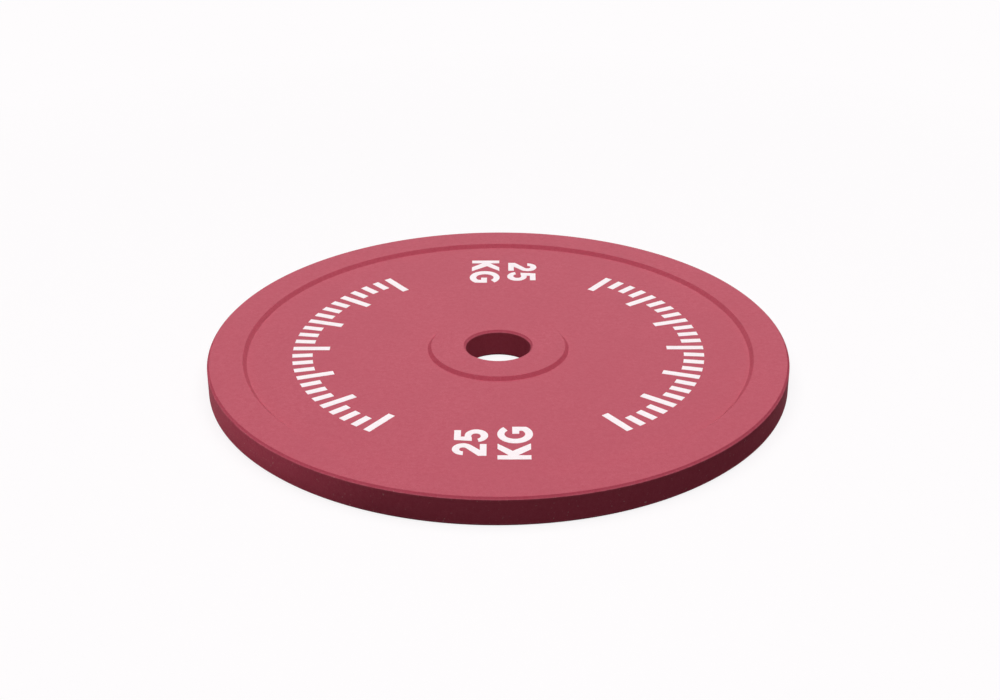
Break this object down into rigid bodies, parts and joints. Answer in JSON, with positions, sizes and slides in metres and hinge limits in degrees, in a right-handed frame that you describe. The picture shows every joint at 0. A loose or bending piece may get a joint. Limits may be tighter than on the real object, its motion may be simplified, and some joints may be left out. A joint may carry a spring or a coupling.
{
  "type": "calibrated powerlifting plate",
  "caption": "Thin painted steel barbell disc with a raised rim and hub, a recessed web, a chamfered centre bore and screw-plugged trim pockets in its flat back.",
  "frame": {"origin": "centre of the bore at the flat back face", "axes": "+Z along the bore from the flat back to the recessed front, +X towards the right calibration pocket, +Y towards the middle of one weight mark"},
  "size_m": [0.45, 0.45, 0.0225],
  "materials": {
    "red_paint": "matt red powder coat",
    "zinc_plated_steel": "turned and zinc plated",
    "copper": "annealed copper, satin",
    "trim_steel": "plain punched sheet steel"
  },
  "bodies": {
    "plate": {"plate_disc": "red_paint", "trim_disc_left_thick": "trim_steel", "trim_disc_left_medium": "trim_steel", "trim_disc_left_thin": "trim_steel", "trim_disc_right_thick": "trim_steel", "trim_disc_right_medium": "trim_steel", "trim_disc_right_thin": "trim_steel"},
    "seal_left": {"sealing_ring_left": "copper"},
    "seal_right": {"sealing_ring_right": "copper"},
    "plug_left": {"calibration_plug_left": "zinc_plated_steel"},
    "plug_right": {"calibration_plug_right": "zinc_plated_steel"}
  },
  "joints": [
    {"name": "plug_left_travel", "type": "slide", "parent": "plate", "child": "seal_left", "axis": [0, 0, -1], "range_m": [0, 0.0105]},
    {"name": "plug_left_turn", "type": "hinge", "parent": "seal_left", "child": "plug_left", "pos_m": [-0.125, 0, 0.0004], "axis": [0, 0, -1], "range_deg": [0, 2520]},
    {"name": "plug_right_travel", "type": "slide", "parent": "plate", "child": "seal_right", "axis": [0, 0, -1], "range_m": [0, 0.0105]},
    {"name": "plug_right_turn", "type": "hinge", "parent": "seal_right", "child": "plug_right", "pos_m": [0.125, 0, 0.0004], "axis": [0, 0, -1], "range_deg": [0, 2520]}
  ],
  "couplings": [
    {"joint": "plug_left_travel", "follows": "plug_left_turn", "m_per_rad": 0.00023873},
    {"joint": "plug_right_travel", "follows": "plug_right_turn", "m_per_rad": 0.00023873}
  ]
}
